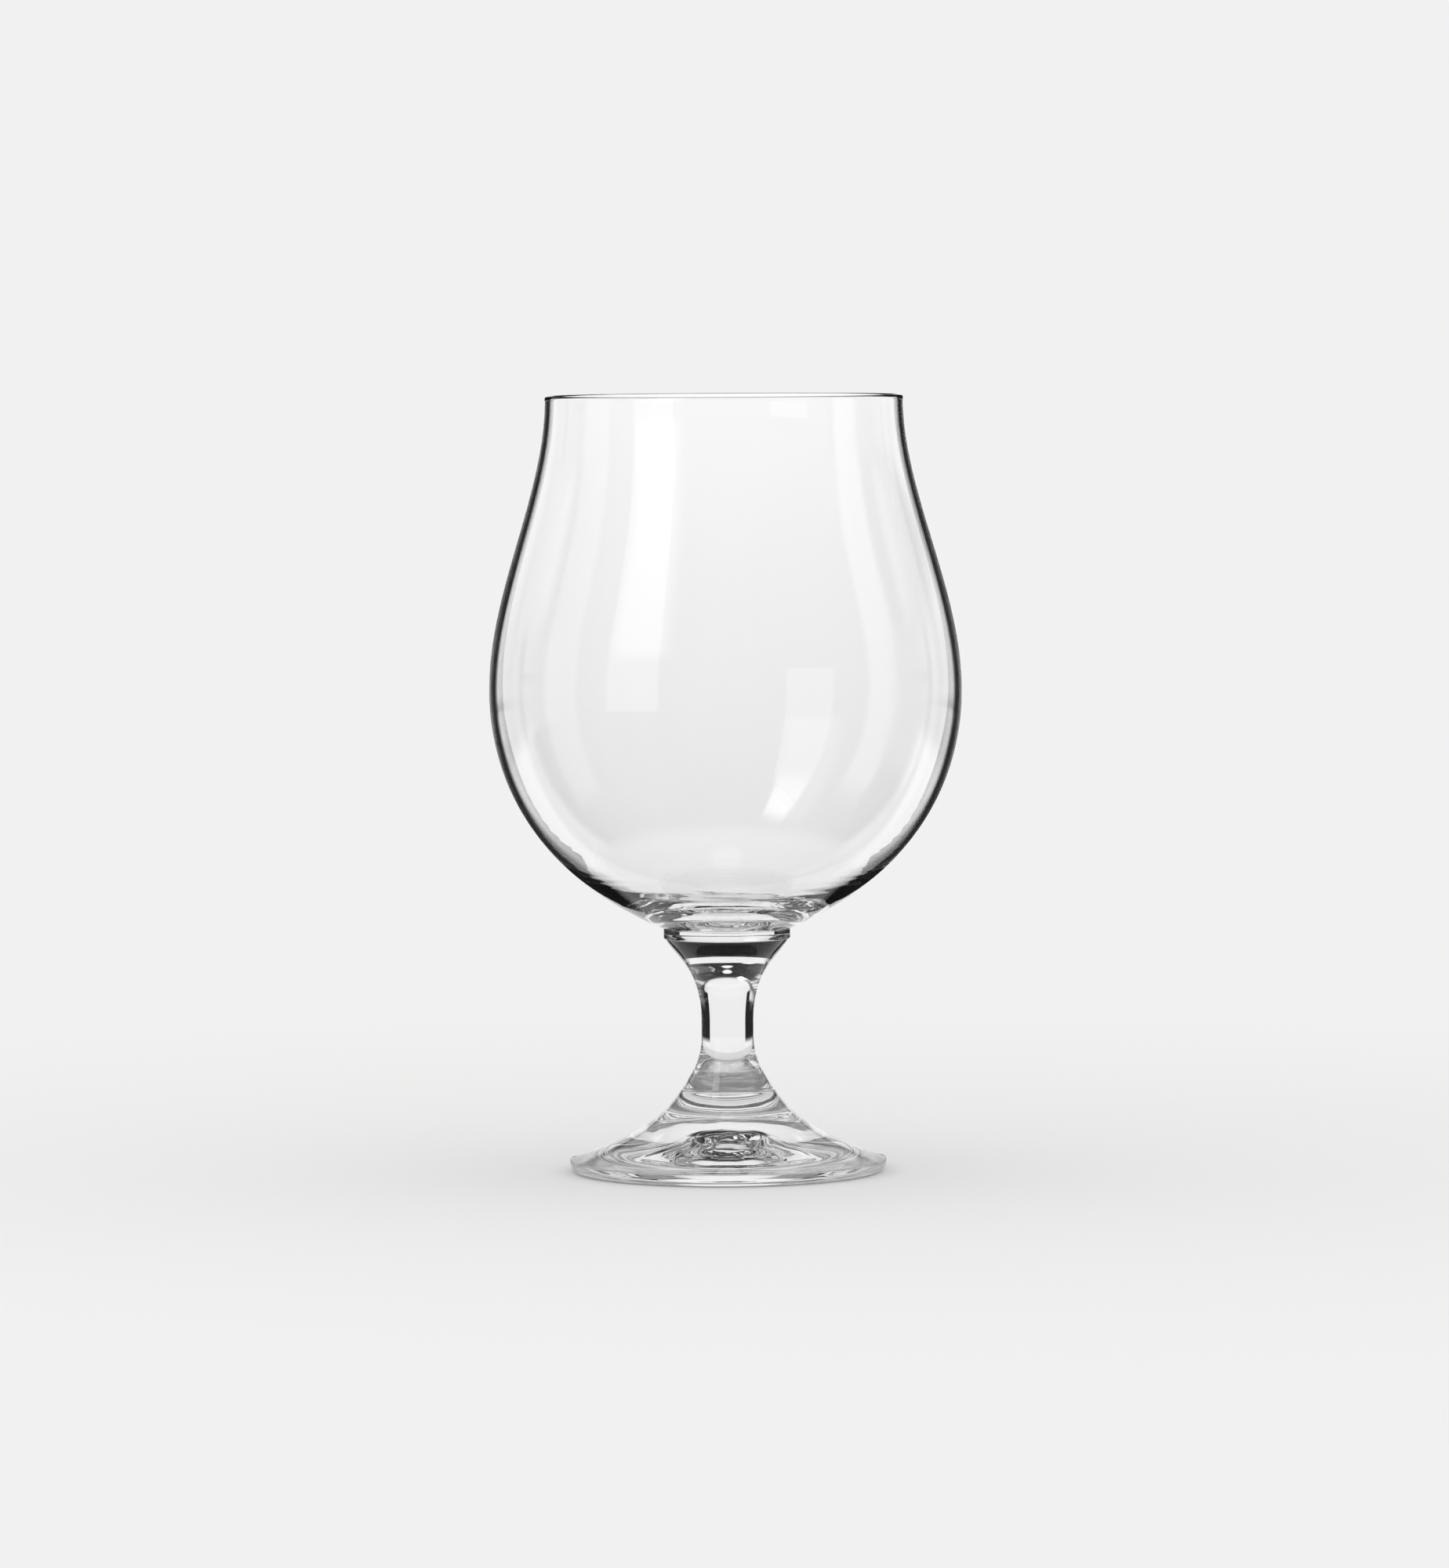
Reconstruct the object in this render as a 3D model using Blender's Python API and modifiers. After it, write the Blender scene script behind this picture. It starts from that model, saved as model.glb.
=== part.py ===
# Beer snifter in clear glass: a tulip bowl that closes towards its mouth, fused through a collar
# to a waisted stem and a drawn foot. Metres, +Z up, origin on the table under the axis.
import math

import bpy

# Heights of the four pieces, and the seam between two fused neighbours
FOOT_HEIGHT = 0.01685
STEM_HEIGHT = 0.0308
COLLAR_HEIGHT = 0.0019
BOWL_HEIGHT = 0.10955
FUSED_SEAM = 0.0003

# Bowl: outside radii, the height of its widest ring above its base, and the glass thickness
RIM_RADIUS = 0.0369
BELLY_RADIUS = 0.04875
BELLY_HEIGHT = 0.0489
BOWL_BASE_RADIUS = 0.0136
RIM_WALL = 0.0011
BELLY_WALL = 0.0016
BOWL_FLOOR = 0.0020

# Bowl curves: how far each curve keeps the direction of its end, as a share of its rise or reach
RIM_EASE = 0.33
SHOULDER_EASE = 0.345
BELLY_EASE = 0.336
HEEL_REACH = 0.78
HEEL_RISE = 0.247
INSIDE_BELLY_EASE = 0.42
INSIDE_FLOOR_REACH = 0.62

# Collar: a crisp disc between bowl and stem
COLLAR_RADIUS = 0.01313
COLLAR_EDGE_ROUND = 0.0002

# Stem: drawn in from the collar to a short straight waist, then flared to the foot
STEM_TOP_RADIUS = 0.0128
WAIST_RADIUS = 0.0054
WAIST_HEIGHT = 0.0112
WAIST_LENGTH = 0.0026
STEM_TOP_LEAN = math.radians(28)
STEM_TOP_EASE = 0.21
WAIST_UPPER_EASE = 0.64
WAIST_LOWER_EASE = 0.45
STEM_FLARE_EASE = 0.36

# Seam where the stem is fused to the foot: both run through it at one lean from the vertical
SEAM_RADIUS = 0.00945
SEAM_LEAN = math.radians(32)

# Foot: a flare that flattens to a thin edge, a flat ring to stand on and, inside the ring, a shallow
# hollow that rises to a domed punt
FOOT_RADIUS = 0.03265
FOOT_EDGE = 0.0025
FOOT_EDGE_SLOPE = math.radians(17)
FOOT_FLARE_EASE = 0.43
FOOT_BRIM_EASE = 0.525
EDGE_TOP_ROUND = 0.0004
EDGE_BOTTOM_ROUND = 0.0016
RING_WIDTH = 0.0042
HOLLOW_HEIGHT = 0.0005
HOLLOW_EASE = 0.35
PUNT_SHARE = 0.80
PUNT_HEIGHT = 0.0048
PUNT_EASE = 0.50

# Facets
TURN_STEPS = 64
CURVE_STEPS = 9
ROUND_STEPS = 3
SHARP_ANGLE = math.radians(30)
MERGE_DISTANCE = 0.00001


def cubic(start, start_handle, end_handle, end, steps=CURVE_STEPS):
    """Points along a cubic curve in the (radius, height) half-plane."""
    points = []
    for step in range(steps + 1):
        t = step / steps
        u = 1 - t
        weights = (u ** 3, 3 * u * u * t, 3 * u * t * t, t ** 3)
        controls = (start, start_handle, end_handle, end)
        radius = sum(w * point[0] for w, point in zip(weights, controls))
        height = sum(w * point[1] for w, point in zip(weights, controls))
        points.append((radius, height))
    return points


def arc(centre, size, start_angle, end_angle, steps=ROUND_STEPS):
    """Points along a circular arc in the (radius, height) half-plane."""
    points = []
    for step in range(steps + 1):
        angle = start_angle + (end_angle - start_angle) * step / steps
        points.append((centre[0] + size * math.cos(angle), centre[1] + size * math.sin(angle)))
    return points


def chain(*runs):
    """One outline from runs of points, with each shared end kept once."""
    outline = []
    for run in runs:
        for point in run:
            if not outline or math.dist(point, outline[-1]) > MERGE_DISTANCE:
                outline.append(point)
    return outline


def bowl_outline():
    """Inside wall from the floor up, over the round lip, and down the outside to the base."""
    lip_round = RIM_WALL / 2
    lip_height = BOWL_HEIGHT - lip_round
    shoulder_rise = lip_height - BELLY_HEIGHT
    belly_inside = BELLY_RADIUS - BELLY_WALL
    rim_inside = RIM_RADIUS - RIM_WALL
    inside_depth = BELLY_HEIGHT - BOWL_FLOOR
    floor_handle = BOWL_BASE_RADIUS + INSIDE_FLOOR_REACH * (belly_inside - BOWL_BASE_RADIUS)
    heel_handle = BOWL_BASE_RADIUS + HEEL_REACH * (BELLY_RADIUS - BOWL_BASE_RADIUS)
    floor_curve = cubic(
        (0, BOWL_FLOOR),
        (floor_handle, BOWL_FLOOR),
        (belly_inside, BELLY_HEIGHT - INSIDE_BELLY_EASE * inside_depth),
        (belly_inside, BELLY_HEIGHT),
    )
    inside_shoulder = cubic(
        (belly_inside, BELLY_HEIGHT),
        (belly_inside, BELLY_HEIGHT + SHOULDER_EASE * shoulder_rise),
        (rim_inside, lip_height - RIM_EASE * shoulder_rise),
        (rim_inside, lip_height),
    )
    lip = arc((RIM_RADIUS - lip_round, lip_height), lip_round, math.pi, 0, 2 * ROUND_STEPS)
    outside_shoulder = cubic(
        (RIM_RADIUS, lip_height),
        (RIM_RADIUS, lip_height - RIM_EASE * shoulder_rise),
        (BELLY_RADIUS, BELLY_HEIGHT + SHOULDER_EASE * shoulder_rise),
        (BELLY_RADIUS, BELLY_HEIGHT),
    )
    heel_curve = cubic(
        (BELLY_RADIUS, BELLY_HEIGHT),
        (BELLY_RADIUS, BELLY_HEIGHT * (1 - BELLY_EASE)),
        (heel_handle, BELLY_HEIGHT * HEEL_RISE),
        (BOWL_BASE_RADIUS, 0),
    )
    return chain(floor_curve, inside_shoulder, lip, outside_shoulder, heel_curve, [(0, 0)])


def collar_outline():
    """Plain disc with a slight round on both corners."""
    side = COLLAR_RADIUS - COLLAR_EDGE_ROUND
    top_corner = (side, COLLAR_HEIGHT - COLLAR_EDGE_ROUND)
    bottom_corner = (side, COLLAR_EDGE_ROUND)
    return chain(
        [(0, COLLAR_HEIGHT)],
        arc(top_corner, COLLAR_EDGE_ROUND, math.pi / 2, 0, 1),
        arc(bottom_corner, COLLAR_EDGE_ROUND, 0, -math.pi / 2, 1),
        [(0, 0)],
    )


def stem_outline():
    """Upper flare into the waist, the straight waist, and the lower flare to the foot seam."""
    waist_top = WAIST_HEIGHT + WAIST_LENGTH
    upper_rise = STEM_HEIGHT - waist_top
    top_handle = STEM_TOP_EASE * upper_rise
    seam_handle = STEM_FLARE_EASE * WAIST_HEIGHT
    upper_flare = cubic(
        (STEM_TOP_RADIUS, STEM_HEIGHT),
        (STEM_TOP_RADIUS - top_handle * math.tan(STEM_TOP_LEAN), STEM_HEIGHT - top_handle),
        (WAIST_RADIUS, waist_top + WAIST_UPPER_EASE * upper_rise),
        (WAIST_RADIUS, waist_top),
    )
    lower_flare = cubic(
        (WAIST_RADIUS, WAIST_HEIGHT),
        (WAIST_RADIUS, WAIST_HEIGHT * (1 - WAIST_LOWER_EASE)),
        (SEAM_RADIUS - seam_handle * math.tan(SEAM_LEAN), seam_handle),
        (SEAM_RADIUS, 0),
    )
    return chain([(0, STEM_HEIGHT)], upper_flare, lower_flare, [(0, 0)])


def foot_outline():
    """Flare from the seam to the thin edge, round the edge, the standing ring, the hollow and the punt."""
    flare_drop = FOOT_HEIGHT - FOOT_EDGE
    flare_handle = FOOT_FLARE_EASE * flare_drop
    top_corner = (FOOT_RADIUS - EDGE_TOP_ROUND, FOOT_EDGE - EDGE_TOP_ROUND)
    bottom_round = min(EDGE_BOTTOM_ROUND, FOOT_EDGE - EDGE_TOP_ROUND)
    bottom_corner = (FOOT_RADIUS - bottom_round, bottom_round)
    corner_angle = math.pi / 2 - FOOT_EDGE_SLOPE
    top_edge = arc(top_corner, EDGE_TOP_ROUND, corner_angle, 0)
    brim = top_edge[0]
    brim_handle = FOOT_BRIM_EASE * (brim[0] - SEAM_RADIUS)
    flare = cubic(
        (SEAM_RADIUS, FOOT_HEIGHT),
        (SEAM_RADIUS + flare_handle * math.tan(SEAM_LEAN), FOOT_HEIGHT - flare_handle),
        (brim[0] - brim_handle, brim[1] + brim_handle * math.tan(FOOT_EDGE_SLOPE)),
        brim,
    )
    bottom_edge = arc(bottom_corner, bottom_round, 0, -math.pi / 2)
    ring_inside = bottom_corner[0] - RING_WIDTH
    punt_radius = PUNT_SHARE * ring_inside
    hollow_handle = HOLLOW_EASE * (ring_inside - punt_radius)
    hollow = cubic(
        (ring_inside, 0),
        (ring_inside - hollow_handle, HOLLOW_HEIGHT),
        (punt_radius + hollow_handle, HOLLOW_HEIGHT),
        (punt_radius, HOLLOW_HEIGHT),
    )
    punt = cubic(
        (punt_radius, HOLLOW_HEIGHT),
        (punt_radius * (1 - PUNT_EASE), HOLLOW_HEIGHT),
        (punt_radius * PUNT_EASE, PUNT_HEIGHT),
        (0, PUNT_HEIGHT),
    )
    return chain([(0, FOOT_HEIGHT)], flare, top_edge, bottom_edge, hollow, punt)


def clear_glass(name, tint, roughness):
    """Clear soda-lime glass with a given trace of colour."""
    material = bpy.data.materials.new(name)
    material.use_nodes = True
    shader = material.node_tree.nodes["Principled BSDF"]
    shader.inputs["Base Color"].default_value = (*tint, 1)
    shader.inputs["Roughness"].default_value = roughness
    shader.inputs["Metallic"].default_value = 0
    shader.inputs["IOR"].default_value = 1.52
    shader.inputs["Transmission Weight"].default_value = 1
    return material


def turned_piece(name, outline, base_height, material, carrier, collection):
    """Turn an outline about Z into one closed solid that stands at base_height."""
    profile = bpy.data.meshes.new(name + "_profile")
    points = [(radius, 0, height) for radius, height in outline]
    segments = [(index, index + 1) for index in range(len(points) - 1)]
    profile.from_pydata(points, segments, [])
    piece = bpy.data.objects.new(name, profile)
    collection.objects.link(piece)
    piece.parent = carrier
    piece.location.z = base_height
    screw = piece.modifiers.new("turn", "SCREW")
    screw.axis = "Z"
    screw.angle = 2 * math.pi
    screw.steps = TURN_STEPS
    screw.render_steps = TURN_STEPS
    screw.use_merge_vertices = True
    screw.merge_threshold = MERGE_DISTANCE
    bpy.context.view_layer.update()
    evaluated = piece.evaluated_get(bpy.context.evaluated_depsgraph_get())
    solid = bpy.data.meshes.new_from_object(evaluated)
    piece.modifiers.clear()
    piece.data = solid
    bpy.data.meshes.remove(profile)
    solid.name = name
    solid.shade_smooth()
    solid.set_sharp_from_angle(angle=SHARP_ANGLE)
    solid.materials.clear()
    solid.materials.append(material)
    return piece


def build():
    for leftover in list(bpy.data.objects):
        bpy.data.objects.remove(leftover, do_unlink=True)
    collection = bpy.data.collections.new("beer_snifter")
    bpy.context.scene.collection.children.link(collection)
    axis = bpy.data.objects.new("snifter_axis", None)
    collection.objects.link(axis)

    stem_base = FOOT_HEIGHT + FUSED_SEAM
    collar_base = stem_base + STEM_HEIGHT + FUSED_SEAM
    bowl_base = collar_base + COLLAR_HEIGHT + FUSED_SEAM
    thin_glass = clear_glass("bowl_glass", (0.98, 0.985, 0.98), 0.01)
    collar_glass = clear_glass("collar_glass", (0.965, 0.975, 0.97), 0.02)
    stem_glass = clear_glass("stem_glass", (0.965, 0.975, 0.97), 0.01)
    foot_glass = clear_glass("foot_glass", (0.97, 0.98, 0.975), 0.015)
    turned_piece("foot", foot_outline(), 0, foot_glass, axis, collection)
    turned_piece("stem", stem_outline(), stem_base, stem_glass, axis, collection)
    turned_piece("collar", collar_outline(), collar_base, collar_glass, axis, collection)
    turned_piece("bowl", bowl_outline(), bowl_base, thin_glass, axis, collection)


build()
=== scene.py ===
# Beer snifter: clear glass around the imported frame, on a pale floor in soft studio light
import math

import bpy
import numpy as np
from mathutils import Matrix, Vector


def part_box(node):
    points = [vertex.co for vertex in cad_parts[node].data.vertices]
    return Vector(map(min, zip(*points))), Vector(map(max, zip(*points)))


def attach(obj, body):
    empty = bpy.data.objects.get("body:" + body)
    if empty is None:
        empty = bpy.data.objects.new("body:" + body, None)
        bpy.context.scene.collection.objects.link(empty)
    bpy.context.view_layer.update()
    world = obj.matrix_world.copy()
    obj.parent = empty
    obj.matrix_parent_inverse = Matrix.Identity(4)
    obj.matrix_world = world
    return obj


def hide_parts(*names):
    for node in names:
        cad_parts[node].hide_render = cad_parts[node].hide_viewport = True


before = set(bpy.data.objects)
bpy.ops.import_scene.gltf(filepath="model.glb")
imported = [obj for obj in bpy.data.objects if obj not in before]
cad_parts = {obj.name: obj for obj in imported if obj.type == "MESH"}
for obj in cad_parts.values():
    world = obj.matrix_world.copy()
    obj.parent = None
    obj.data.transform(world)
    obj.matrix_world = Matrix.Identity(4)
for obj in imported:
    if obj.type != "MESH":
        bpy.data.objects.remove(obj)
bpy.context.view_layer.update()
scene = bpy.context.scene
print("frame:", sorted(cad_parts))


def placeObject(name, data):
    thing = bpy.data.objects.new(name, data)
    scene.collection.objects.link(thing)
    return thing


# Curves of the turned profiles, in the (radius, height) half-plane

# cubic curve: four points weighted by u^3, 3uut, 3utt and t^3, with u = 1 - t
def cubicRun(start, startHandle, endHandle, end, count):
    t = np.linspace(0, 1, count)[:, None]
    u = 1 - t
    weights = (u ** 3, 3 * u * u * t, 3 * u * t * t, t ** 3)
    points = (start, startHandle, endHandle, end)
    return sum(w * np.array(p, float) for w, p in zip(weights, points))


# circular arc: centre plus size times (cos, sin) of an evenly running angle
def arcRun(centre, size, startAngle, endAngle, count):
    angle = np.linspace(startAngle, endAngle, count)
    return np.array(centre) + size * np.stack([np.cos(angle), np.sin(angle)], 1)


# straight run: the two ends weighted by 1 - t and t
def lineRun(start, end, count=2):
    t = np.linspace(0, 1, count)[:, None]
    return (1 - t) * np.array(start, float) + t * np.array(end, float)


turning = {
    "turns": 192,         # facets round each piece
    "leastStep": 1e-8,    # metres; a point nearer to the one before it is left out
    "crease": 40,         # degrees from which an edge is sharp
}
glassSlot, jointSlot, undersideSlot = range(3)  # material slots of a piece


# directions round the axis: (cos a, sin a) of an evenly running angle
def compass(turns):
    angle = np.linspace(0, 2 * math.pi, turns, endpoint=False)
    return np.stack([np.cos(angle), np.sin(angle)], 1)


# quads between each ring of a grid and the next, the last column joined to the first
def ringQuads(rings, turns):
    column = np.arange(turns)
    after = (column + 1) % turns
    row = np.arange(rings - 1)[:, None] * turns
    corners = [row + column, row + turns + column, row + turns + after, row + after]
    return np.stack(corners, 2).reshape(-1, 4)


# turned surface: the profile point (r, z) at the turn angle a is (r cos a, r sin a, z);
# the first and last point lie on the axis and stay one vertex each; slots give each run its material
def turnedPiece(name, runs, slots, s):
    points = [runs[0][:1]]
    bandSlots = []
    for run, slot in zip(runs, slots):
        step = np.linalg.norm(np.diff(run, axis=0), axis=1)
        kept = run[1:][step > s["leastStep"]]
        points.append(kept)
        bandSlots += [slot] * len(kept)
    profile = np.concatenate(points)
    rings = profile[1:-1]
    turns = s["turns"]
    flat = rings[:, 0, None, None] * compass(turns)
    z = np.repeat(rings[:, 1:], turns, 1)
    around = np.concatenate([flat, z[:, :, None]], 2).reshape(-1, 3)
    poles = [[0, 0, profile[0, 1]], [0, 0, profile[-1, 1]]]
    column = np.arange(turns)
    after = (column + 1) % turns
    lastRow = (len(rings) - 1) * turns
    firstPole, lastPole = len(around), len(around) + 1
    firstFan = np.stack([np.full(turns, firstPole), column, after], 1)
    lastFan = np.stack([lastRow + column, np.full(turns, lastPole), lastRow + after], 1)
    faces = firstFan.tolist() + ringQuads(len(rings), turns).tolist() + lastFan.tolist()
    mesh = bpy.data.meshes.new(name)
    mesh.from_pydata(np.concatenate([around, poles]).tolist(), [], faces)
    mesh.polygons.foreach_set("material_index", np.repeat(bandSlots, turns).astype(np.int32))
    mesh.shade_smooth()
    mesh.set_sharp_from_angle(angle=math.radians(s["crease"]))
    mesh.validate()
    return placeObject(name, mesh)


# heights where two pieces are fused, halfway through the frame's seams
def seamHeight(lower, upper):
    return (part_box(lower)[1].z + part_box(upper)[0].z) / 2


seams = {
    "footStem": seamHeight("foot", "stem"),
    "stemCollar": seamHeight("stem", "collar"),
    "collarBowl": seamHeight("collar", "bowl"),
}

# Bowl: inside wall up from the floor, over the lip, and down the outside to the collar
bowlShape = {
    "rimRadius": 0.0369,
    "bellyRadius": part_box("bowl")[1].x,
    "bellyHeight": 0.09935,
    "baseRadius": 0.0136,
    "rimWall": 0.0011,
    "bellyWall": 0.0016,
    "floor": 0.0020,
    "rimEase": 0.33,            # eases and reaches are handle lengths, as shares of the run
    "shoulderEase": 0.345,
    "bellyEase": 0.336,
    "heelReach": 0.78,
    "heelRise": 0.247,
    "insideBellyEase": 0.42,
    "insideFloorReach": 0.62,
    "points": {"inside": 90, "shoulder": 80, "lip": 17, "heel": 90, "ledge": 4},
}


def bowlRuns(s, jointRadius):
    count = s["points"]
    rim, belly, heelEnd = s["rimRadius"], s["bellyRadius"], s["baseRadius"]
    bellyZ = s["bellyHeight"]
    base = seams["collarBowl"]
    lip = s["rimWall"] / 2
    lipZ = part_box("bowl")[1].z - lip
    rise, drop = lipZ - bellyZ, bellyZ - base
    floorZ = base + s["floor"]
    bellyIn, rimIn = belly - s["bellyWall"], rim - s["rimWall"]
    rimHandle = lipZ - s["rimEase"] * rise
    shoulderHandle = bellyZ + s["shoulderEase"] * rise
    bellyHandle = bellyZ - s["bellyEase"] * drop
    bellyInHandle = bellyZ - s["insideBellyEase"] * (bellyZ - floorZ)
    floorHandle = heelEnd + s["insideFloorReach"] * (bellyIn - heelEnd)
    heelHandle = (heelEnd + s["heelReach"] * (belly - heelEnd), base + s["heelRise"] * drop)
    runs = {
        "inside": cubicRun((0, floorZ), (floorHandle, floorZ), (bellyIn, bellyInHandle),
                           (bellyIn, bellyZ), count["inside"]),
        "insideShoulder": cubicRun((bellyIn, bellyZ), (bellyIn, shoulderHandle), (rimIn, rimHandle),
                                   (rimIn, lipZ), count["shoulder"]),
        "lip": arcRun((rim - lip, lipZ), lip, math.pi, 0, count["lip"]),
        "shoulder": cubicRun((rim, lipZ), (rim, rimHandle), (belly, shoulderHandle),
                             (belly, bellyZ), count["shoulder"]),
        "heel": cubicRun((belly, bellyZ), (belly, bellyHandle), heelHandle, (heelEnd, base), count["heel"]),
        "ledge": lineRun((heelEnd, base), (jointRadius, base), count["ledge"]),
    }
    outline = np.concatenate([runs["heel"][::-1], runs["shoulder"][::-1]])
    joint = lineRun((jointRadius, base), (0, base))
    return [*runs.values(), joint], [glassSlot] * len(runs) + [jointSlot], outline


# Collar: a crisp disc with slightly rounded corners
collarShape = {
    "radius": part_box("collar")[1].x,
    "round": 0.0002,
    "points": {"face": 3, "corner": 6, "side": 8},
}


def collarRuns(s, upperJoint, lowerJoint):
    count = s["points"]
    top, bottom = seams["collarBowl"], seams["stemCollar"]
    side = s["radius"] - s["round"]
    high, low = top - s["round"], bottom + s["round"]
    quarter = math.pi / 2
    runs = [
        lineRun((0, top), (upperJoint, top)),
        lineRun((upperJoint, top), (side, top), count["face"]),
        arcRun((side, high), s["round"], quarter, 0, count["corner"]),
        lineRun((s["radius"], high), (s["radius"], low), count["side"]),
        arcRun((side, low), s["round"], 0, -quarter, count["corner"]),
        lineRun((side, bottom), (lowerJoint, bottom), count["face"]),
        lineRun((lowerJoint, bottom), (0, bottom)),
    ]
    return runs, [jointSlot] + [glassSlot] * 5 + [jointSlot]


# Stem: drawn in from the collar to the waist, then flared to the foot
stemShape = {
    "topRadius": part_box("stem")[1].x,
    "waistRadius": 0.0054,
    "waistLow": 0.02835,
    "waistHigh": 0.03095,
    "topLean": math.radians(28),
    "topEase": 0.21,
    "waistHighEase": 0.64,
    "waistLowEase": 0.45,
    "flareEase": 0.36,
    "points": {"upper": 90, "waist": 12, "lower": 70},
}
footSeam = {"radius": 0.00945, "lean": math.radians(32), "groove": 0.00012, "grooveHalf": 0.00022}


# groove round the foot's seam: deepest at the seam, falling evenly to nothing at half its width
def cutGroove(run, seam, g):
    near = np.clip(1 - np.abs(run[:, 1] - seam) / g["grooveHalf"], 0, 1)
    run[:, 0] -= g["groove"] * near


def stemRuns(s, g):
    count = s["points"]
    top, bottom = seams["stemCollar"], seams["footStem"]
    wide, waist, high, low = s["topRadius"], s["waistRadius"], s["waistHigh"], s["waistLow"]
    topDrop = s["topEase"] * (top - high)
    topHandle = (wide - topDrop * math.tan(s["topLean"]), top - topDrop)
    flareRise = s["flareEase"] * (low - bottom)
    flareHandle = (g["radius"] - flareRise * math.tan(g["lean"]), bottom + flareRise)
    upper = cubicRun((wide, top), topHandle, (waist, high + s["waistHighEase"] * (top - high)),
                     (waist, high), count["upper"])
    straight = lineRun((waist, high), (waist, low), count["waist"])
    lower = cubicRun((waist, low), (waist, low - s["waistLowEase"] * (low - bottom)), flareHandle,
                     (g["radius"], bottom), count["lower"])
    cutGroove(lower, bottom, g)
    runs = [lineRun((0, top), (wide, top)), upper, straight, lower, lineRun(lower[-1], (0, bottom))]
    return runs, [jointSlot] + [glassSlot] * 3 + [jointSlot]


# Foot: flare to a thin edge, the edge, the standing ring and the hollow underside
footShape = {
    "radius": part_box("foot")[1].x,
    "edge": 0.0025,
    "edgeSlope": math.radians(17),
    "flareEase": 0.43,
    "brimEase": 0.525,
    "topRound": 0.0004,
    "bottomRound": 0.0016,
    "ringWidth": 0.0042,
    "hollow": 0.0005,
    "hollowEase": 0.35,
    "puntShare": 0.80,          # radius of the punt, as a share of the ring's inside
    "punt": 0.0048,
    "puntEase": 0.50,
    "points": {"flare": 110, "edgeTop": 9, "side": 3, "edgeBottom": 14, "ring": 6, "hollow": 40, "punt": 60},
}


def footRuns(s, g):
    count = s["points"]
    top = seams["footStem"]
    topCorner = (s["radius"] - s["topRound"], s["edge"] - s["topRound"])
    bottomCorner = (s["radius"] - s["bottomRound"], s["bottomRound"])
    quarter = math.pi / 2
    edgeTop = arcRun(topCorner, s["topRound"], quarter - s["edgeSlope"], 0, count["edgeTop"])
    side = lineRun(edgeTop[-1], (s["radius"], s["bottomRound"]), count["side"])
    edgeBottom = arcRun(bottomCorner, s["bottomRound"], 0, -quarter, count["edgeBottom"])
    brim = edgeTop[0]
    flareDrop = s["flareEase"] * (top - s["edge"])
    flareHandle = (g["radius"] + flareDrop * math.tan(g["lean"]), top - flareDrop)
    brimReach = s["brimEase"] * (brim[0] - g["radius"])
    brimHandle = (brim[0] - brimReach, brim[1] + brimReach * math.tan(s["edgeSlope"]))
    flare = cubicRun((g["radius"], top), flareHandle, brimHandle, brim, count["flare"])
    cutGroove(flare, top, g)
    ringIn = bottomCorner[0] - s["ringWidth"]
    ring = lineRun(edgeBottom[-1], (ringIn, 0), count["ring"])
    puntIn = s["puntShare"] * ringIn
    hollowReach = s["hollowEase"] * (ringIn - puntIn)
    hollow = cubicRun((ringIn, 0), (ringIn - hollowReach, s["hollow"]),
                      (puntIn + hollowReach, s["hollow"]), (puntIn, s["hollow"]), count["hollow"])
    punt = cubicRun((puntIn, s["hollow"]), (puntIn * (1 - s["puntEase"]), s["hollow"]),
                    (puntIn * s["puntEase"], s["punt"]), (0, s["punt"]), count["punt"])
    runs = [lineRun((0, top), flare[0]), flare, edgeTop, side, edgeBottom, ring, hollow, punt]
    return runs, [jointSlot] + [glassSlot] * 4 + [undersideSlot] * 3


# Materials
def nodeTree(name):
    material = bpy.data.materials.new(name)
    material.use_nodes = True
    tree = material.node_tree
    tree.nodes.clear()
    return material, tree, tree.nodes.new("ShaderNodeOutputMaterial")


# a number is set on the socket, an output is linked to it
def feed(tree, value, socket):
    if isinstance(value, (int, float)):
        socket.default_value = value
    else:
        tree.links.new(value, socket)


def mathNode(tree, operation, *values):
    node = tree.nodes.new("ShaderNodeMath")
    node.operation = operation
    for socket, value in zip(node.inputs, values):
        feed(tree, value, socket)
    return node.outputs[0]


def productNode(tree, first, *others):
    for other in others:
        first = mathNode(tree, "MULTIPLY", first, other)
    return first


# angle in degrees whose tangent is opposite over adjacent
def angleNode(tree, opposite, adjacent):
    return productNode(tree, mathNode(tree, "ARCTAN2", opposite, adjacent), math.degrees(1))


def rampNode(tree, value, edges, levels=(0, 1), kind="SMOOTHSTEP"):
    node = tree.nodes.new("ShaderNodeMapRange")
    node.interpolation_type = kind
    for key, number in zip(("From Min", "From Max", "To Min", "To Max"), (*edges, *levels)):
        node.inputs[key].default_value = number
    tree.links.new(value, node.inputs["Value"])
    return node.outputs["Result"]


def mixNode(tree, share, first, second):
    node = tree.nodes.new("ShaderNodeMixShader")
    for socket, value in zip(node.inputs, (share, first, second)):
        tree.links.new(value, socket)
    return node.outputs[0]


def transparentNode(tree, level=1.0):
    node = tree.nodes.new("ShaderNodeBsdfTransparent")
    node.inputs["Color"].default_value = (level, level, level, 1)
    return node.outputs[0]


def splitNode(tree, vector):
    node = tree.nodes.new("ShaderNodeSeparateXYZ")
    tree.links.new(vector, node.inputs[0])
    return node.outputs


def objectPlace(tree):
    return tree.nodes.new("ShaderNodeTexCoord").outputs["Object"]


# direction back along the ray, so a rising ray's Z is below 0
def rayBack(tree):
    return splitNode(tree, tree.nodes.new("ShaderNodeNewGeometry").outputs["Incoming"])


def risingBy(angles):
    return [-math.sin(math.radians(a)) for a in angles]


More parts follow.
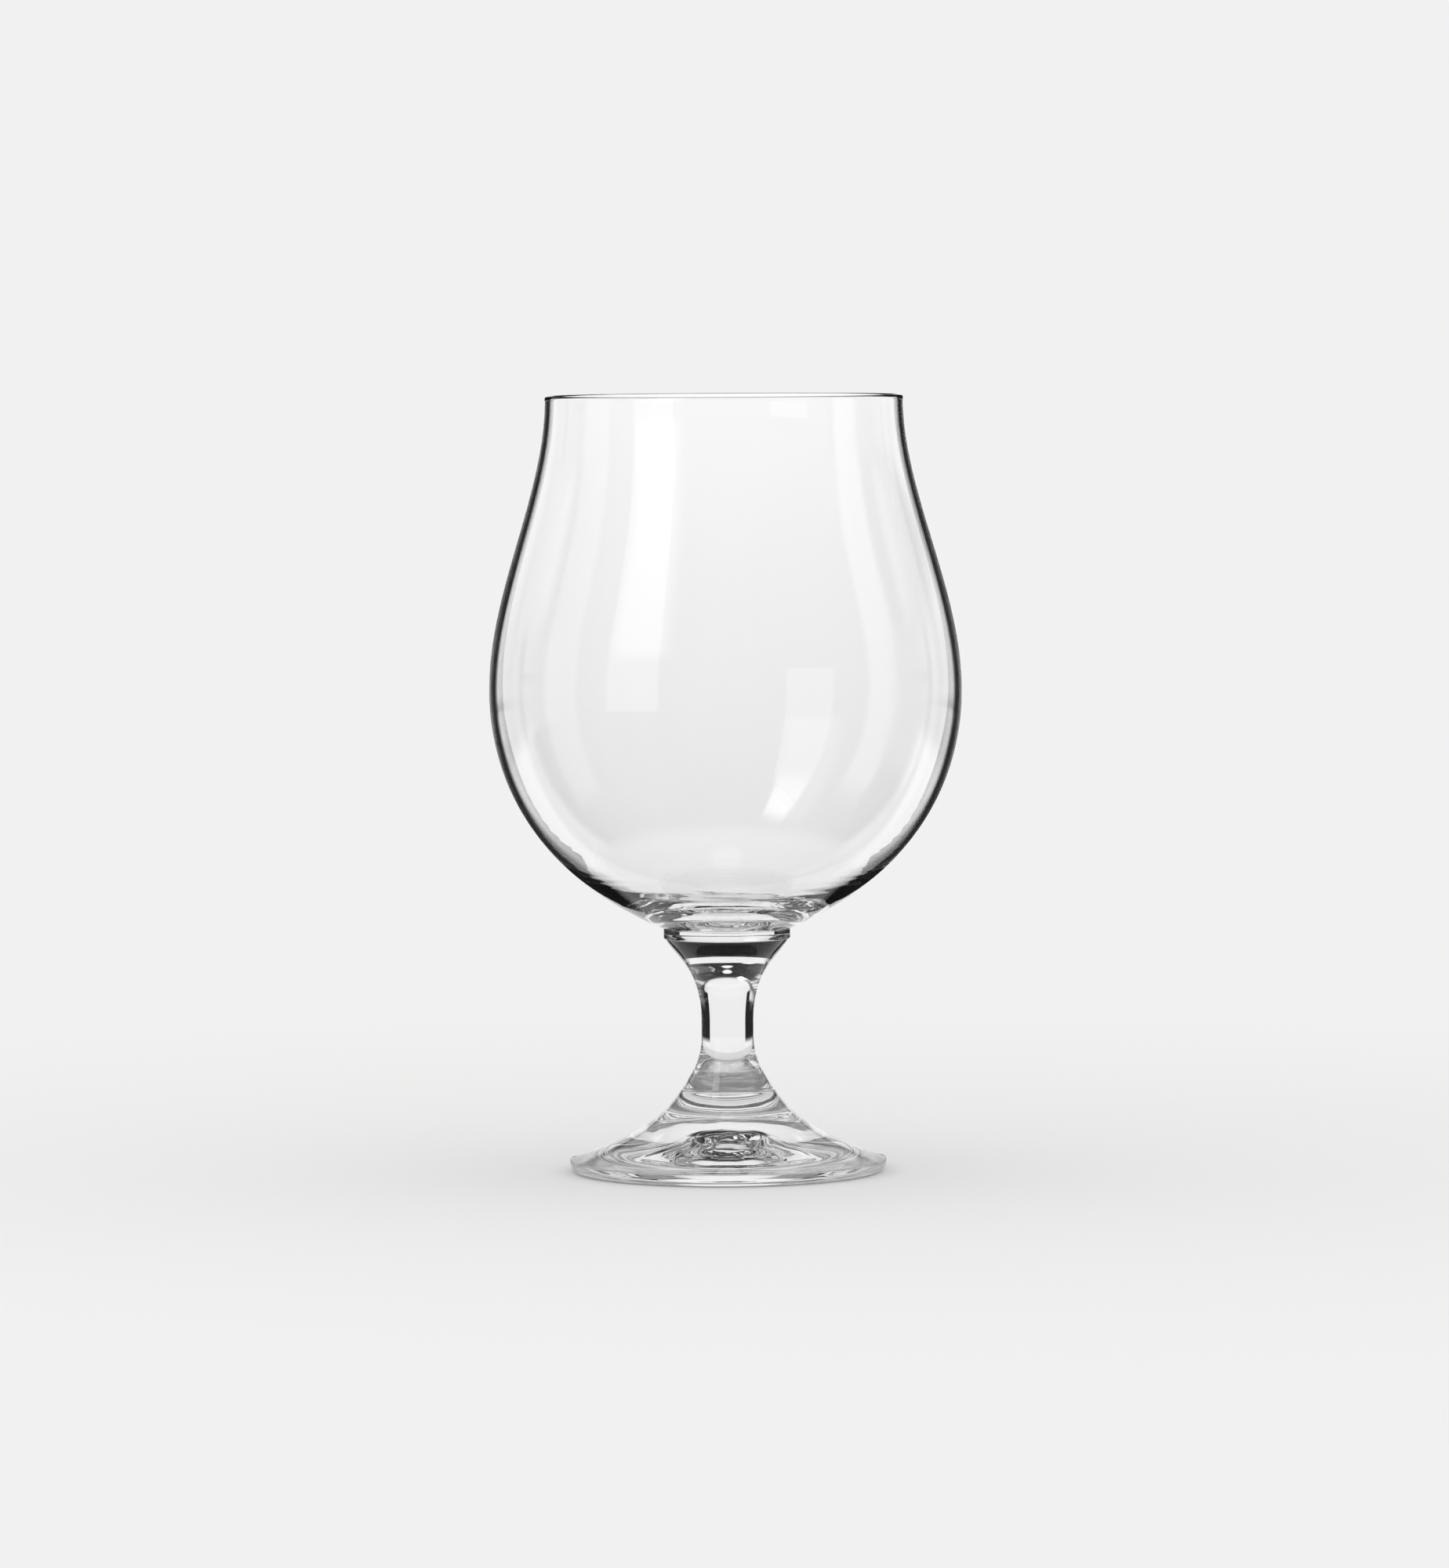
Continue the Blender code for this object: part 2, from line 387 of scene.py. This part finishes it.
glassLook = {
    "ior": 1.52,
    "shadowTint": 0.88,
    "wipeFrom": (0.3, 0.7),     # values of the waves' noise between which the roughness runs
}
# finish of each piece: waves left in the hot glass, as noise with so many cells per metre round and up;
# their depth in metres at two heights; wipe marks as two roughnesses; a crown adds depth from two heights up
finish = {
    "bowl": {
        "tint": (0.99, 0.992, 0.99), "waves": (28, 420), "detail": 2.0,
        "depths": (0.00009, 0.000003), "between": (0.056, 0.068), "wipe": (0.004, 0.02),
    },
    "collar": {
        "tint": (0.985, 0.99, 0.987), "waves": (60, 300), "detail": 1.0,
        "depths": (0.00002, 0.00002), "between": (0.048, 0.050), "wipe": (0.006, 0.02),
    },
    "stem": {
        "tint": (0.985, 0.99, 0.987), "waves": (50, 330), "detail": 2.0,
        "depths": (0.00006, 0.000006), "between": (0.020, 0.027), "wipe": (0.004, 0.02),
        "crown": (0.038, 0.044), "crownDepth": 0.000015,
    },
    "foot": {
        "tint": (0.985, 0.99, 0.987), "waves": (40, 330), "detail": 2.0,
        "depths": (0.000006, 0.00006), "between": (0.006, 0.014), "wipe": (0.004, 0.02),
    },
}
# underside of the foot: the standing ring is ground to a roughness that ends between two heights
underside = {
    "tint": (0.985, 0.99, 0.987), "waves": (220, 220), "detail": 1.0,
    "depths": (0.00003, 0.00022), "between": (0.0006, 0.0030),
    "ground": 0.12, "groundTo": (0.0001, 0.0003),
}


def clearGlass(name, look):
    material, tree, out = nodeTree(name)
    glass = tree.nodes.new("ShaderNodeBsdfPrincipled")
    glass.inputs["Base Color"].default_value = (*look["tint"], 1)
    glass.inputs["IOR"].default_value = glassLook["ior"]
    glass.inputs["Transmission Weight"].default_value = 1
    place = objectPlace(tree)
    height = splitNode(tree, place)["Z"]
    squeeze = tree.nodes.new("ShaderNodeVectorMath")
    squeeze.operation = "MULTIPLY"
    cellsRound, cellsUp = look["waves"]
    squeeze.inputs[1].default_value = (cellsRound, cellsRound, cellsUp)
    tree.links.new(place, squeeze.inputs[0])
    noise = tree.nodes.new("ShaderNodeTexNoise")
    noise.inputs["Scale"].default_value = 1
    noise.inputs["Detail"].default_value = look["detail"]
    tree.links.new(squeeze.outputs[0], noise.inputs["Vector"])
    waves = noise.outputs["Fac"]
    depth = rampNode(tree, height, look["between"], look["depths"])
    if "crown" in look:
        more = rampNode(tree, height, look["crown"], (0, look["crownDepth"]))
        depth = mathNode(tree, "ADD", depth, more)
    bump = tree.nodes.new("ShaderNodeBump")
    bump.inputs["Strength"].default_value = 1
    bump.inputs["Distance"].default_value = 1
    tree.links.new(productNode(tree, waves, depth), bump.inputs["Height"])
    tree.links.new(bump.outputs["Normal"], glass.inputs["Normal"])
    if "wipe" in look:
        rough = rampNode(tree, waves, glassLook["wipeFrom"], look["wipe"])
    else:
        rough = rampNode(tree, height, look["groundTo"], (look["ground"], 0), "LINEAR")
    tree.links.new(rough, glass.inputs["Roughness"])
    shadowRay = tree.nodes.new("ShaderNodeLightPath").outputs["Is Shadow Ray"]
    shadow = transparentNode(tree, glassLook["shadowTint"])
    tree.links.new(mixNode(tree, shadowRay, glass.outputs[0], shadow), out.inputs["Surface"])
    return material


# welded joint: light runs straight on, as the glass is one there
def weldedJoint(name):
    material, tree, out = nodeTree(name)
    tree.links.new(transparentNode(tree), out.inputs["Surface"])
    return material


joint = weldedJoint("weldedJoint")
bowlJoint = collarShape["radius"] - collarShape["round"]
collarJoint = min(stemShape["topRadius"], bowlJoint)
*bowlParts, bowlOutline = bowlRuns(bowlShape, bowlJoint)
pieceRuns = {
    "bowl": bowlParts,
    "collar": collarRuns(collarShape, bowlJoint, collarJoint),
    "stem": stemRuns(stemShape, footSeam),
    "foot": footRuns(footShape, footSeam),
}
for node, (runs, slots) in pieceRuns.items():
    piece = turnedPiece(node + "_glass", runs, slots, turning)
    piece.data.materials.append(clearGlass(node + "Glass", finish[node]))
    piece.data.materials.append(joint)
    if undersideSlot in slots:
        piece.data.materials.append(clearGlass(node + "Underside", underside))
    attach(piece, "root")
    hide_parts(node)
    print("piece:", piece.name, len(piece.data.polygons), "faces")

# Studio: dark surroundings, pale cards that only the glass shows, soft light on a pale floor
studio = {
    "white": (1, 1, 0.998),
    "backdrop": 0.88,       # what the camera sees
    "ambient": 0.97,        # soft light on the floor
    "dark": 0.02,           # the dark surroundings
    "ring": 0.03,           # soft grey above the horizon
    "ringFrom": (3, 18),    # degrees of elevation
    "ringTo": (46, 56),
    "ringSides": (62, 76),  # degrees from the far side where the grey starts
}

# pale cards by direction, in degrees: turn from the far side, half width, low and high edge, with soft edges
# from one number of a pair to the other; seen tells whether one shows through the glass, reflected, or both
cards = {
    "behindSide": {"turn": -90, "half": (8, 13), "low": (-40, -30), "high": (30, 45),
                   "level": 0.98, "seen": "through"},
    "lowLeft": {"turn": -48, "half": (14, 24), "low": (-60, -50), "high": (-14, -8),
                "level": 1.0, "seen": "both"},
    "lowMid": {"turn": 48, "half": (14, 24), "low": (-60, -50), "high": (-14, -8),
               "level": 1.0, "seen": "both"},
    "overhead": {"turn": 0, "half": (180, 181), "low": (83, 85.5), "high": (91, 92),
                 "level": 1.0, "seen": "through"},
    "highStrip": {"turn": -134.5, "half": (9, 13), "low": (36, 52), "high": (58, 66),
                  "level": 2.2, "seen": "reflected"},
    "lowRight": {"turn": 135, "half": (10, 20), "low": (-60, -50), "high": (-14, -8),
                 "level": 0.95, "seen": "through"},
}


def buildWorld(s):
    world = bpy.data.worlds.new("studio")
    scene.world = world
    world.use_nodes = True
    tree = world.node_tree
    tree.nodes.clear()
    x, y, z = splitNode(tree, tree.nodes.new("ShaderNodeTexCoord").outputs["Generated"])
    flat = mathNode(tree, "SQRT", mathNode(tree, "ADD", productNode(tree, x, x), productNode(tree, y, y)))
    rise = angleNode(tree, z, flat)
    aside = mathNode(tree, "ABSOLUTE", angleNode(tree, x, y))
    glow = productNode(tree, rampNode(tree, rise, s["ringFrom"]), rampNode(tree, rise, s["ringTo"][::-1]),
                       rampNode(tree, aside, s["ringSides"]), s["ring"])
    path = tree.nodes.new("ShaderNodeLightPath").outputs
    ways = {"reflected": path["Is Glossy Ray"], "through": path["Is Transmission Ray"]}
    ways["both"] = mathNode(tree, "MAXIMUM", ways["reflected"], ways["through"])
    for card in cards.values():
        turn = math.radians(card["turn"])
        sine, cosine = math.sin(turn), math.cos(turn)
        along = mathNode(tree, "ADD", productNode(tree, x, sine), productNode(tree, y, cosine))
        across = mathNode(tree, "SUBTRACT", productNode(tree, x, cosine), productNode(tree, y, sine))
        off = mathNode(tree, "ABSOLUTE", angleNode(tree, across, along))
        lit = productNode(tree, rampNode(tree, off, card["half"][::-1]), rampNode(tree, rise, card["low"]),
                          rampNode(tree, rise, card["high"][::-1]), card["level"], ways[card["seen"]])
        glow = mathNode(tree, "MAXIMUM", glow, lit)
    glow = mathNode(tree, "MAXIMUM", glow, s["dark"])

    ambient = productNode(tree, mathNode(tree, "SUBTRACT", 1, ways["both"]), s["ambient"])
    notCamera = mathNode(tree, "ADD", productNode(tree, glow, ways["both"]), ambient)
    camera = path["Is Camera Ray"]
    strength = mathNode(tree, "ADD", productNode(tree, camera, s["backdrop"]),
                        productNode(tree, mathNode(tree, "SUBTRACT", 1, camera), notCamera))
    background = tree.nodes.new("ShaderNodeBackground")
    background.inputs["Color"].default_value = (*s["white"], 1)
    tree.links.new(strength, background.inputs["Strength"])
    out = tree.nodes.new("ShaderNodeOutputWorld")
    tree.links.new(background.outputs[0], out.inputs["Surface"])


buildWorld(studio)

# Floor: a pale disc that fades into the background
floorLook = {
    "radius": 0.9,
    "rings": 40,
    "turns": 96,
    "drop": 0.0002,
    "colour": (0.87, 0.87, 0.868),
    "fade": (0.16, 0.42),           # radii where it turns into the background
    "edge": (0.064, 0.088),         # radii where the table top that the glass shows ends
    "paintedGlow": (0.010, 0.005),     # radii of the painted glow that stands for the light the stem gathers under it
    "paintedGlowLevel": 0.36,
    "paintedRipples": (0.034, 0.026),      # radii of the painted ripples of light under the foot
    "paintedRipplesLevel": 0.16,
    "paintedRipplesScale": 330,            # cells per metre
    "paintedRipplesFrom": (0.45, 0.65),    # values of their noise from dark to light
}


# polar grid: ring radii grow evenly, height constant
def floorDisc(s):
    turns = s["turns"]
    radii = np.linspace(0, s["radius"], s["rings"])[1:]
    flat = (radii[:, None, None] * compass(turns)).reshape(-1, 2)
    flat = np.concatenate([flat, [[0, 0]]])
    vertices = np.column_stack([flat, np.full(len(flat), -s["drop"])])
    column = np.arange(turns)
    fan = np.stack([np.full(turns, len(flat) - 1), column, (column + 1) % turns], 1)
    mesh = bpy.data.meshes.new("floor")
    mesh.from_pydata(vertices.tolist(), [], fan.tolist() + ringQuads(len(radii), turns).tolist())
    return placeObject("floor", mesh)


# the camera sees the paint fade into the background; the glass shows a small table with a painted glow under
# the stem and painted ripples of light under the foot
def floorPaint(s):
    material, tree, out = nodeTree("paleFloor")
    paint = tree.nodes.new("ShaderNodeBsdfDiffuse")
    paint.inputs["Color"].default_value = (*s["colour"], 1)
    far = tree.nodes.new("ShaderNodeEmission")
    far.inputs["Color"].default_value = (*studio["white"], 1)
    far.inputs["Strength"].default_value = studio["backdrop"]
    place = objectPlace(tree)
    length = tree.nodes.new("ShaderNodeVectorMath")
    length.operation = "LENGTH"
    tree.links.new(place, length.inputs[0])
    away = length.outputs["Value"]
    # painted light: an emission spot under the stem and noise ripples under the foot stand for the light the
    # glass focuses on the table; only rays through the glass see them
    noise = tree.nodes.new("ShaderNodeTexNoise")
    noise.inputs["Scale"].default_value = s["paintedRipplesScale"]
    tree.links.new(place, noise.inputs["Vector"])
    paintedRipples = productNode(tree, rampNode(tree, noise.outputs["Fac"], s["paintedRipplesFrom"]), s["paintedRipplesLevel"],
                          rampNode(tree, away, s["paintedRipples"]))
    paintedSpot = productNode(tree, rampNode(tree, away, s["paintedGlow"]), s["paintedGlowLevel"])
    paintedGlow = tree.nodes.new("ShaderNodeEmission")
    tree.links.new(mathNode(tree, "ADD", paintedRipples, paintedSpot), paintedGlow.inputs["Strength"])
    lit = tree.nodes.new("ShaderNodeAddShader")
    tree.links.new(paint.outputs[0], lit.inputs[0])
    tree.links.new(paintedGlow.outputs[0], lit.inputs[1])
    inGlass = mixNode(tree, rampNode(tree, away, s["edge"]), lit.outputs[0], transparentNode(tree))
    toCamera = mixNode(tree, rampNode(tree, away, s["fade"]), paint.outputs[0], far.outputs[0])
    cameraRay = tree.nodes.new("ShaderNodeLightPath").outputs["Is Camera Ray"]
    tree.links.new(mixNode(tree, cameraRay, inGlass, toCamera), out.inputs["Surface"])
    return material


floor = floorDisc(floorLook)
floor.data.materials.append(floorPaint(floorLook))
print("floor ready")

# soft box: an area lamp at a turn angle from the camera's side, facing the axis; radiance in white units
stripLeft = {"turn": -45.5, "reach": 0.95, "low": -0.02, "high": 1.10, "width": 0.45, "radiance": 0.64}


def buildSoftBox(name, s):
    turn = math.radians(s["turn"])
    tall = s["high"] - s["low"]
    aim = Vector((-math.sin(turn), math.cos(turn), 0))
    data = bpy.data.lights.new(name, "AREA")
    data.shape = "RECTANGLE"
    data.size = s["width"]
    data.size_y = tall
    data.energy = s["radiance"] * math.pi * s["width"] * tall
    lamp = placeObject(name, data)
    lamp.location = (*(-aim * s["reach"]).xy, (s["high"] + s["low"]) / 2)
    lamp.rotation_euler = aim.to_track_quat("-Z", "Y").to_euler()
    lamp.visible_camera = False


buildSoftBox("stripLeft", stripLeft)

# Camera at the photograph's viewing angle
photo = {
    "height": 2000,             # pixels
    "metresPerPixel": 0.0001616,
    "baseRow": 1494.4,          # row of the table under the axis
    "axisShift": 2.0,           # columns from the middle to the axis
    "distance": 1.65,
    "eyeHeight": 0.179,
    "roll": 0.35,               # degrees
    "sensor": 36,               # millimetres
}


def buildCamera(s):
    data = bpy.data.cameras.new("camera")
    camera = placeObject("camera", data)
    across = -s["axisShift"] * s["metresPerPixel"]
    eye = Vector((across, -s["distance"], s["eyeHeight"]))
    aim = Vector((across, 0, (s["baseRow"] - s["height"] / 2) * s["metresPerPixel"]))
    data.sensor_width = s["sensor"]
    data.lens = (eye - aim).length / (s["metresPerPixel"] * s["height"]) * s["sensor"]
    look = (aim - eye).to_track_quat("-Z", "Y").to_matrix()
    roll = Matrix.Rotation(-math.radians(s["roll"]), 3, "Z")
    camera.matrix_world = Matrix.Translation(eye) @ (look @ roll).to_4x4()
    scene.camera = camera


buildCamera(photo)


# a card glows where its mask is 1 and is not there where it is 0; only the glass shows it
def hangCard(name, mesh, tree, out, strength, mask):
    glow = tree.nodes.new("ShaderNodeEmission")
    feed(tree, strength, glow.inputs["Strength"])
    shown = mixNode(tree, mask, transparentNode(tree), glow.outputs[0])
    tree.links.new(shown, out.inputs["Surface"])
    card = placeObject(name, mesh)
    card.visible_camera = False
    card.visible_diffuse = False
    card.visible_shadow = False


# white card close behind the glass, cut to the bowl's outline, for rays near its square view
backCard = {
    "rows": 60,
    "leastHalf": 0.035,
    "high": 0.172,
    "behind": 0.062,
    "outset": 0.0094,               # outside the bowl's outline
    "soft": (1.0, 0.985),           # share of its half width where it fades
    "levels": (0.93, 1.125),        # radiance low and high on the card
    "between": (0.060, 0.158),      # heights of the two
    "louvre": (50, 42),             # degrees off square where it ends
    "rising": (45, 38),             # and of rise
    "wide": (0.075, 0.060),         # below these heights it is wider for rays that rise from the foot,
    "wideRising": (16, 24),         # by so many degrees,
    "wideShare": 2.2,               # so many times as wide,
    "wideSoft": (2.1, 0.3),         # with a soft edge
}


# flat sheet: at each height a left, a middle and a right point, as far out as the outline seen from the eye
def buildBackCard(s, outline):
    rows = s["rows"]
    heights = np.linspace(0, s["high"], rows)
    spread = 1 + s["behind"] / photo["distance"]
    half = np.interp(heights, outline[:, 1], outline[:, 0]) * spread + s["outset"]
    half = np.maximum(half, s["leastHalf"])
    widen = np.interp(heights, s["wide"][::-1], (s["wideShare"], 1))
    flat = np.full(rows, s["behind"])
    columns = [np.stack([side * half * widen, flat, heights], 1) for side in (-1, 0, 1)]
    row = np.arange(rows - 1)
    strip = np.stack([row, row + rows, row + rows + 1, row + 1], 1)
    mesh = bpy.data.meshes.new("backCard")
    mesh.from_pydata(np.concatenate(columns).tolist(), [], np.concatenate([strip, strip + rows]).tolist())
    across = mesh.attributes.new("across", "FLOAT", "POINT")
    across.data.foreach_set("value", np.concatenate([widen, 0 * widen, widen]))
    material, tree, out = nodeTree("whiteCard")
    mesh.materials.append(material)
    height = splitNode(tree, objectPlace(tree))["Z"]
    way = rayBack(tree)
    share = tree.nodes.new("ShaderNodeAttribute")
    share.attribute_name = "across"
    strength = rampNode(tree, height, s["between"], s["levels"], "LINEAR")
    facing = rampNode(tree, way["Y"], [-math.cos(math.radians(a)) for a in s["louvre"]])
    rising = rampNode(tree, way["Z"], risingBy(s["rising"]))
    fromFoot = productNode(tree, rampNode(tree, way["Z"], risingBy(s["wideRising"])),
                           rampNode(tree, height, s["wide"]))
    crisp, wide = (rampNode(tree, share.outputs["Fac"], s[key]) for key in ("soft", "wideSoft"))
    edge = mathNode(tree, "MULTIPLY_ADD", fromFoot, mathNode(tree, "SUBTRACT", wide, crisp), crisp)
    hangCard("backCard", mesh, tree, out, strength, productNode(tree, facing, rising, edge))


buildBackCard(backCard, bowlOutline)

# side panels behind the glass, left and right of the card: turn in degrees from the far side; soft edges and
# places of the two levels, in metres from a panel's middle towards the card; degrees of rise where it ends
sidePanels = {
    "left": {"turn": -50, "inner": (0.052, 0.034), "levels": (0.95, 0.35), "between": (0.034, -0.042),
             "outer": (-0.16, -0.05), "rising": (26, 16)},
    "right": {"turn": 50, "inner": (0.056, 0.020), "levels": (0.95, 0.35), "between": (0.034, -0.042),
              "outer": (-0.16, -0.05), "rising": (10, 7)},
}
# size of both, and the heights of their low part and their body
panelFit = {
    "reach": 0.25,
    "half": 0.17,
    "high": 0.45,
    "foot": (0.018, 0.055),
    "body": (0.066, 0.090),
    "steep": (18, 14),          # degrees of fall from which rays miss them,
    "falling": (4, 6),          # and from which rays find the low part
}


# flat rectangle: from the middle at the turn angle, half a width to each side, and straight up
def buildSidePanel(name, s, fit):
    turn = math.radians(s["turn"])
    inward = math.copysign(1, -s["turn"])
    along = Vector((math.cos(turn) * inward, -math.sin(turn) * inward, 0))
    middle = Vector((math.sin(turn), math.cos(turn), 0)) * fit["reach"]
    up = Vector((0, 0, fit["high"]))
    ends = (middle - along * fit["half"], middle + along * fit["half"])
    mesh = bpy.data.meshes.new(name)
    mesh.from_pydata([ends[0], ends[1], ends[1] + up, ends[0] + up], [], [(0, 1, 2, 3)])
    material, tree, out = nodeTree(name)
    mesh.materials.append(material)
    place = objectPlace(tree)
    height = splitNode(tree, place)["Z"]
    dot = tree.nodes.new("ShaderNodeVectorMath")
    dot.operation = "DOT_PRODUCT"
    dot.inputs[1].default_value = along
    tree.links.new(place, dot.inputs[0])
    u = dot.outputs["Value"]
    climb = rayBack(tree)["Z"]
    steep, falling = ([math.sin(math.radians(a)) for a in fit[key]] for key in ("steep", "falling"))
    low = productNode(tree, rampNode(tree, height, fit["foot"]), rampNode(tree, climb, falling))
    tall = mathNode(tree, "MAXIMUM", low, rampNode(tree, height, fit["body"]))
    mask = productNode(tree, rampNode(tree, u, s["inner"]), rampNode(tree, u, s["outer"]), tall,
                       rampNode(tree, climb, steep), rampNode(tree, climb, risingBy(s["rising"])))
    strength = rampNode(tree, u, s["between"], s["levels"], "LINEAR")
    hangCard(name, mesh, tree, out, strength, mask)


for name, panel in sidePanels.items():
    buildSidePanel(name + "Panel", panel, panelFit)

# low pale band round the table, for rays that rise gently from the foot, in degrees from rising to steep;
# it glows for three ranges of the ray's turn from the far side
lowBand = {
    "turns": 64,
    "reach": 0.095,
    "high": 0.036,
    "top": (0.034, 0.024),
    "rising": (0.5, 3),
    "steep": (36, 28),
    "behind": (38, 30),
    "sidesFrom": (48, 56),
    "sidesTo": (150, 142),
    "front": (160, 170),
    "level": 0.90,
}


# cylinder: points (reach cos a, reach sin a) at two heights
def buildLowBand(s):
    turns = s["turns"]
    ring = np.column_stack([compass(turns) * s["reach"], np.zeros(turns)])
    column = np.arange(turns)
    after = (column + 1) % turns
    faces = np.stack([column, after, after + turns, column + turns], 1)
    mesh = bpy.data.meshes.new("lowBand")
    mesh.from_pydata(np.concatenate([ring, ring + (0, 0, s["high"])]).tolist(), [], faces.tolist())
    material, tree, out = nodeTree("lowBand")
    mesh.materials.append(material)
    height = splitNode(tree, objectPlace(tree))["Z"]
    way = rayBack(tree)
    turn = angleNode(tree, mathNode(tree, "ABSOLUTE", way["X"]), productNode(tree, way["Y"], -1))
    sides = productNode(tree, rampNode(tree, turn, s["sidesFrom"]), rampNode(tree, turn, s["sidesTo"]))
    ends = mathNode(tree, "MAXIMUM", rampNode(tree, turn, s["behind"]), rampNode(tree, turn, s["front"]))
    turned = mathNode(tree, "MAXIMUM", sides, ends)
    rising, steep = (rampNode(tree, way["Z"], risingBy(s[key])) for key in ("rising", "steep"))
    mask = productNode(tree, rampNode(tree, height, s["top"]), rising, steep, turned)
    hangCard("lowBand", mesh, tree, out, s["level"], mask)


buildLowBand(lowBand)
print("studio lit")

scene.view_settings.view_transform = "Standard"
# bounces for light that runs round inside the glass; long chains of inner reflections only add grain
scene.cycles.max_bounces = 40
scene.cycles.transmission_bounces = 40
scene.cycles.glossy_bounces = 14
scene.cycles.transparent_max_bounces = 64
